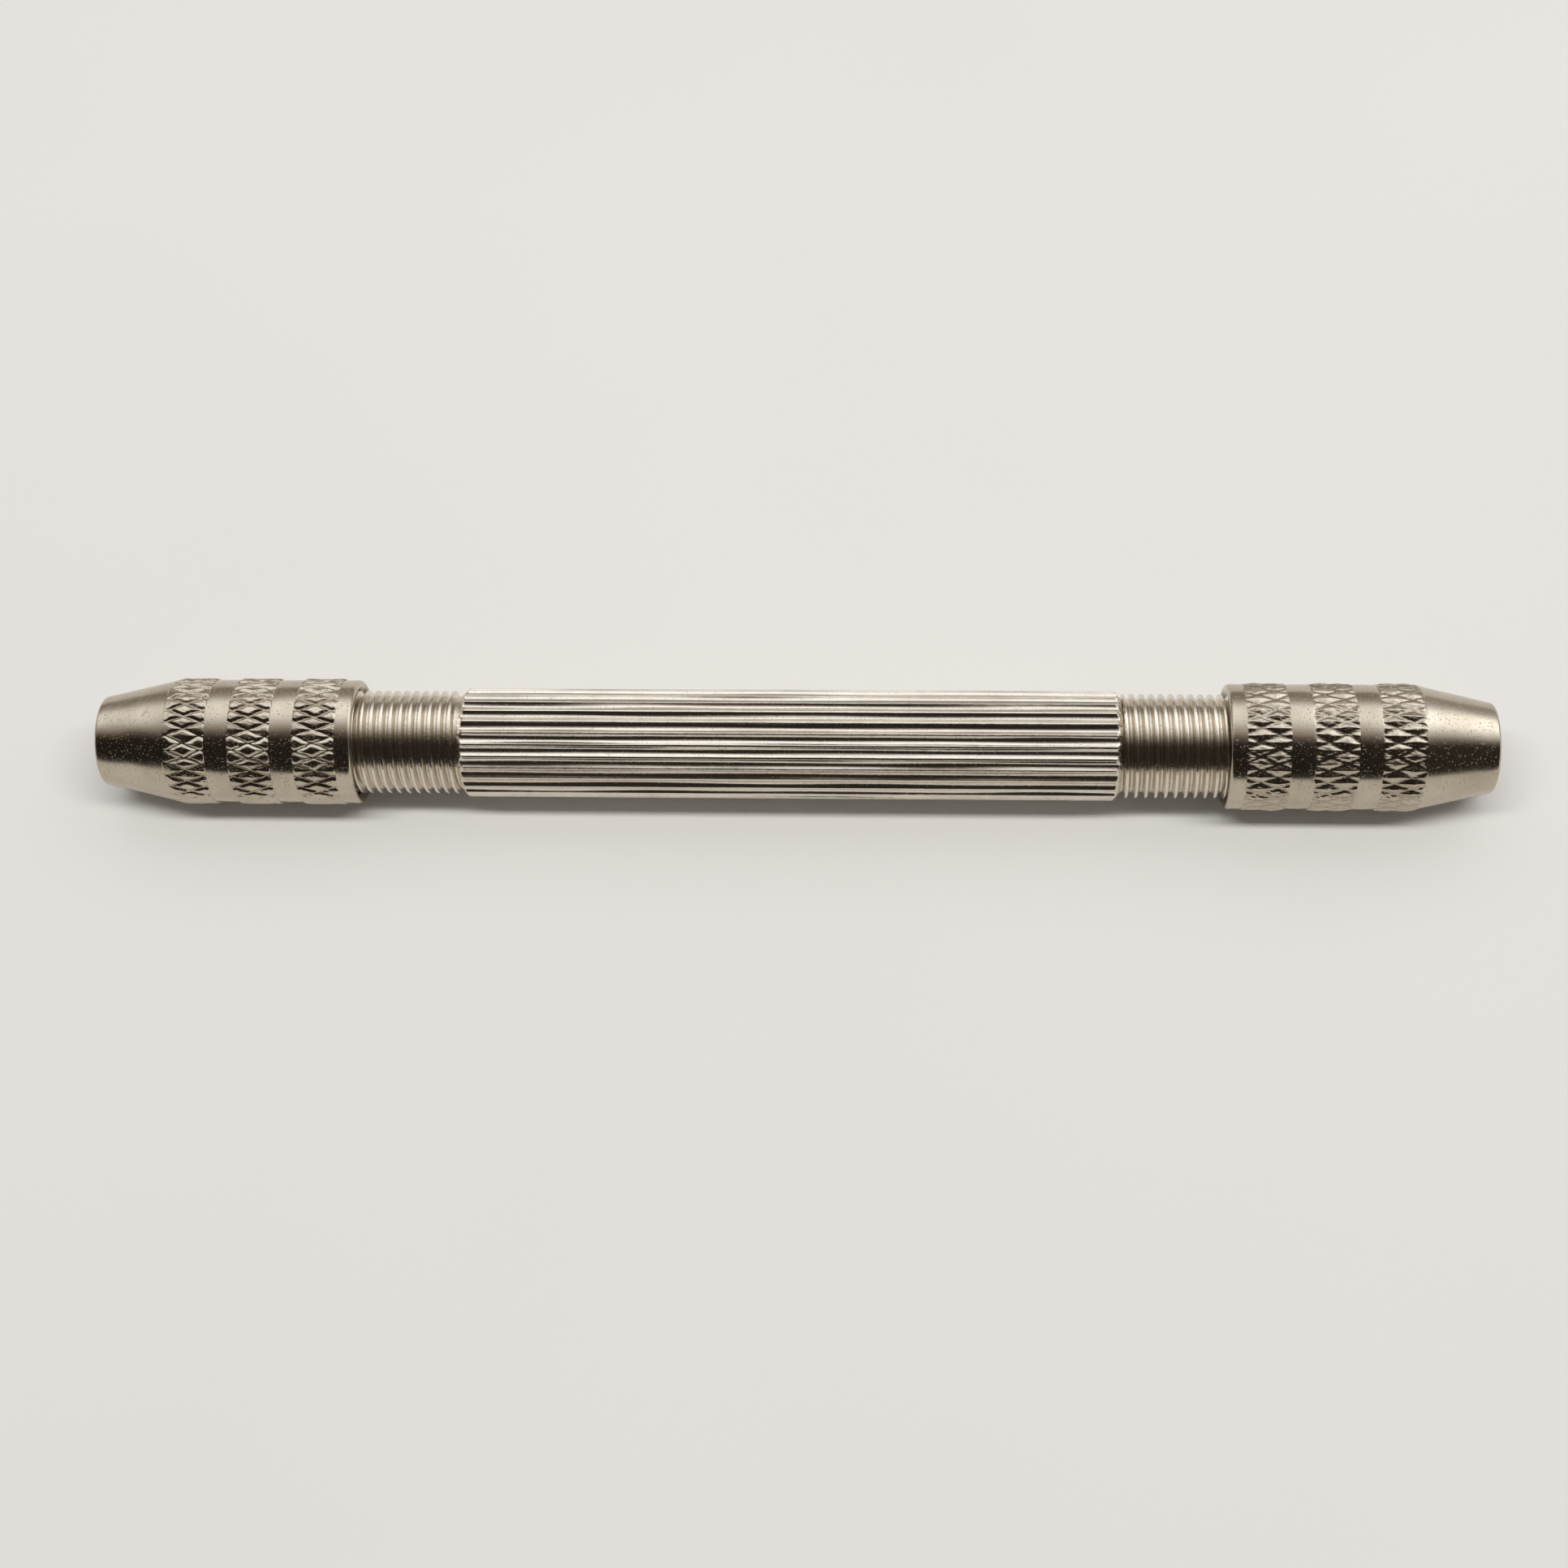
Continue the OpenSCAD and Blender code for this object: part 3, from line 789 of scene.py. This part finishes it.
def steel_material(name):
    """Turned spring steel of the collets, a little darker and drier than the plate."""
    n = Nodes(name)
    clouds = n.noise(STEEL_CLOUDS, detail=4)
    marks = n.noise(STEEL_TURNING, detail=3)
    colour = n.mix(n.ramp(clouds, DARK_CLOUDS), STEEL_BRIGHT, STEEL_DARK)
    roughness = n.math("ADD", n.math("MULTIPLY", clouds, STEEL_CLOUD_ROUGHNESS), STEEL_ROUGHNESS)
    n.finish(colour, roughness, marks, METAL_BUMP)
    return n.material


def paper_material():
    """The pale paper that the tool lies on, with shade painted on its front that clears towards the back."""
    n = Nodes("pale_paper")
    clouds = n.noise(PAPER_CLOUDS, detail=2)
    split = n.node("ShaderNodeSeparateXYZ")
    n.link(n.place((1.0, 1.0, 1.0)), split.inputs[0])
    # Painted shade: the paper darkens towards the front, clearing towards the back
    clear_of_shade = n.math("ADD", n.math("MULTIPLY", split.outputs["Y"], PAPER_SHADE_CLEARS), 0.5, clamp=True)
    colour = n.mix(clouds, PAPER_PALE, PAPER_DULL)
    colour = n.mix(clear_of_shade, n.mix(PAPER_FRONT_SHADE_SHARE, colour, PAPER_FRONT_SHADE), colour)
    fibre = n.noise(PAPER_FIBRE, detail=3)
    roughness = n.math("ADD", n.math("MULTIPLY", clouds, PAPER_CLOUD_ROUGHNESS), PAPER_ROUGHNESS)
    n.finish(colour, roughness, fibre, PAPER_BUMP, strength=PAPER_BUMP_STRENGTH, metallic=0.0)
    return n.material


def dress(obj, material, slot, body, *nodes):
    """Gives a piece its material, hides the CAD parts that it replaces, and attaches it to the body that it
    moves with.
    """
    obj.data.materials.clear()
    obj.data.materials.append(material)
    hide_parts(*nodes)
    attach(obj, body)


# Stage

CAMERA_ELEVATION = math.radians(60)
CAMERA_X = 8.75
CAMERA_DISTANCE = 176.56
CAMERA_PAN = math.radians(-2.9636)
CAMERA_PITCH = math.radians(0.9319)
CAMERA_ROLL = math.radians(-0.3181)
CAMERA_LENS = 56.17
SENSOR_WIDTH = 36
CLIP_START = 0.005
CLIP_END = 20


def make_camera():
    """The camera that was fitted to the photograph: it looks down on the tool at 60 degrees."""
    c, s = math.cos(CAMERA_ELEVATION), math.sin(CAMERA_ELEVATION)
    axes = Matrix(((1, 0, 0), (0, s, -c), (0, c, s)))
    roll = Matrix.Rotation(CAMERA_ROLL, 3, "Z")
    pitch = Matrix.Rotation(CAMERA_PITCH, 3, "X")
    pan = Matrix.Rotation(CAMERA_PAN, 3, "Y")
    turn = roll @ pitch @ pan
    data = bpy.data.cameras.new("photo_camera")
    data.sensor_width = SENSOR_WIDTH
    data.lens = CAMERA_LENS
    data.clip_start = CLIP_START
    data.clip_end = CLIP_END
    camera = bpy.data.objects.new("photo_camera", data)
    rotation = (axes @ turn.transposed()).to_4x4()
    where = Matrix.Translation((CAMERA_X * MM, -CAMERA_DISTANCE * c * MM, CAMERA_DISTANCE * s * MM))
    camera.matrix_world = where @ rotation
    bpy.context.scene.collection.objects.link(camera)
    bpy.context.scene.camera = camera


def make_floor():
    """The sheet of paper that the tool lies on."""
    mesh = bpy.data.meshes.new("paper_floor")
    corners = [(-1, -1), (1, -1), (1, 1), (-1, 1)]
    points = [(x * FLOOR_REACH, y * FLOOR_REACH, FLOOR_Z * MM) for x, y in corners]
    mesh.from_pydata(points, [], [(0, 1, 2, 3)])
    floor = bpy.data.objects.new("paper_floor", mesh)
    bpy.context.scene.collection.objects.link(floor)
    mesh.materials.append(paper_material())


def direction(elevation, azimuth=0.0):
    """Unit vector at an angle over the front horizon: 90 degrees is overhead and 180 the back horizon."""
    e, a = math.radians(elevation), math.radians(azimuth)
    return np.array([math.sin(a), -math.cos(e) * math.cos(a), math.sin(e) * math.cos(a)])


# Softboxes: elevation and azimuth in degrees, distance, width and height in metres, share of the light
OVERHEAD_BOX = (82, 3, 0.7, 1.0, 0.09, 0.86)
BACK_BOX = (122, 8, 0.55, 0.9, 0.4, 0.16)
LAMP_COLOUR = (1.0, 0.985, 0.965)


def softbox(name, elevation, azimuth, distance, width, height, share):
    """An area lamp that faces the tool and that the metal doesn't mirror.
    share is the part of the floor's light that it gives: 1 shows white as white."""
    data = bpy.data.lights.new(name, "AREA")
    data.shape = "RECTANGLE"
    data.size, data.size_y = width, height
    z = direction(elevation, azimuth)
    data.energy = share * (math.pi * distance) ** 2 / z[2]
    data.color = LAMP_COLOUR
    lamp = bpy.data.objects.new(name, data)
    x = np.array([1.0, 0.0, 0.0]) - z * z[0]
    x /= np.linalg.norm(x)
    y = np.cross(z, x)
    facing = Matrix(np.column_stack([x, y, z]).tolist()).to_4x4()
    lamp.matrix_world = Matrix.Translation(tuple(z * distance)) @ facing
    lamp.visible_glossy = False
    bpy.context.scene.collection.objects.link(lamp)


# What the metal mirrors, from the front horizon over the top to the back: degrees and brightness
TENT_LEVELS = [(-4, 0.03), (64, 0.035), (76, 0.2), (90, 0.75), (106, 1.5), (114, 1.8), (136, 1.8),
               (144, 1.3), (154, 0.65), (164, 0.45), (184, 0.38)]
# How much of it is left towards the two sides: degrees to the right, and share
TENT_SIDES = [(-84, 0.12), (-62, 0.5), (-41, 0.76), (-15, 0.83), (12, 0.76), (38, 1.25), (62, 0.9),
              (84, 0.15)]
# Its tint by brightness
TENT_TINT = [(0.05, (1.0, 0.84, 0.7)), (0.8, (0.98, 1.0, 1.03))]
# Degrees to either side, columns over them, degrees between rows, and distance in metres
TENT_SPREAD = 84
TENT_COLUMNS = 35
TENT_ROW_STEP = 6
TENT_DISTANCE = 0.9


def make_tent():
    """The curved tent that only the metal sees: dark where the camera stands, bright over the back."""
    rows = np.array([angle for angle, _ in TENT_LEVELS], float)
    rows = np.unique(np.concatenate([rows, np.arange(0, 180, TENT_ROW_STEP)]))
    levels = np.interp(rows, *zip(*TENT_LEVELS))
    columns = np.linspace(-TENT_SPREAD, TENT_SPREAD, TENT_COLUMNS)
    points = [tuple(direction(e, a) * TENT_DISTANCE) for e in rows for a in columns]
    values = np.outer(levels, np.interp(columns, *zip(*TENT_SIDES))).ravel()
    across = TENT_COLUMNS
    starts = [i * across + j for i in range(len(rows) - 1) for j in range(across - 1)]
    faces = [(k, k + 1, k + across + 1, k + across) for k in starts]
    mesh = bpy.data.meshes.new("light_tent")
    mesh.from_pydata(points, [], faces)
    mesh.attributes.new("level", "FLOAT", "POINT").data.foreach_set("value", values)
    tent = bpy.data.objects.new("light_tent", mesh)
    bpy.context.scene.collection.objects.link(tent)
    n = Nodes("light_tent")
    emission = n.node("ShaderNodeEmission")
    level = n.node("ShaderNodeAttribute", attribute_name="level").outputs["Fac"]
    n.link(n.ramp(level, TENT_TINT), emission.inputs["Color"])
    n.link(level, emission.inputs["Strength"])
    n.link(emission.outputs[0], n.node("ShaderNodeOutputMaterial").inputs["Surface"])
    mesh.materials.append(n.material)
    tent.visible_camera = False
    tent.visible_diffuse = False
    tent.visible_shadow = False


# Brightness of the room as camera and metal see it, and of the fill that it gives
WORLD_SEEN = 0.9
WORLD_LIGHT = 0.22
ROOM_COLOUR = (1.0, 0.98, 0.955)


def make_world():
    """A pale room: the camera and the metal see it pale, and the floor gets only a soft fill from it."""
    world = bpy.data.worlds.new("pale_room")
    bpy.context.scene.world = world
    world.use_nodes = True
    tree = world.node_tree
    background = tree.nodes["Background"]
    background.inputs["Color"].default_value = (*ROOM_COLOUR, 1)
    path = tree.nodes.new("ShaderNodeLightPath")
    seen = path.outputs["Is Camera Ray"]
    for name in ("Is Glossy Ray", "Is Transmission Ray"):
        either = tree.nodes.new("ShaderNodeMath")
        either.operation = "MAXIMUM"
        tree.links.new(seen, either.inputs[0])
        tree.links.new(path.outputs[name], either.inputs[1])
        seen = either.outputs[0]
    level = tree.nodes.new("ShaderNodeMapRange")
    level.inputs["To Min"].default_value = WORLD_LIGHT
    level.inputs["To Max"].default_value = WORLD_SEEN
    tree.links.new(seen, level.inputs["Value"])
    tree.links.new(level.outputs["Result"], background.inputs["Strength"])


def make_light():
    """A long softbox overhead, a wide one over the back, the tent for the metal, and the pale room."""
    softbox("overhead_softbox", *OVERHEAD_BOX)
    softbox("back_softbox", *BACK_BOX)
    make_tent()
    make_world()


def main():
    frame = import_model()

    # How strong the grime with painted shade in the recesses is, and from how low it starts
    handle_nickel = nickel_material("handle_nickel", HANDLE_BRIGHT, HANDLE_WORN, shade_and_dirt=0.35, shade_and_dirt_from=0.94,
                                    pits=0.6, lines=0.3, matte=0.02, nicks=3.0)
    cap_nickel = nickel_material("cap_nickel", CAP_BRIGHT, CAP_WORN, shade_and_dirt=0.4, shade_and_dirt_from=0.7,
                                 pits=1.3, lines=1.2, matte=0.0, nicks=0.0)
    collet_steel = steel_material("collet_steel")

    dress(make_handle(), handle_nickel, "handle_nickel", "handle", "handle")
    left_cap = make_cap("left_cap_turned", shift=0.0, seed=101, form=LEFT_DIAMONDS, turned=True)
    right_cap = make_cap("right_cap_turned", shift=0.5, seed=202, form=RIGHT_DIAMONDS, turned=False)
    dress(left_cap, cap_nickel, "cap_nickel", "left_cap", "left_cap")
    dress(right_cap, cap_nickel, "cap_nickel", "right_cap", "right_cap")
    for name in ("left_collet", "right_collet"):
        node = frame["nodes"][name]
        node.data.materials.clear()
        node.data.materials.append(collet_steel)

    make_camera()
    make_floor()
    make_light()
    bpy.context.scene.view_settings.view_transform = "Standard"


main()
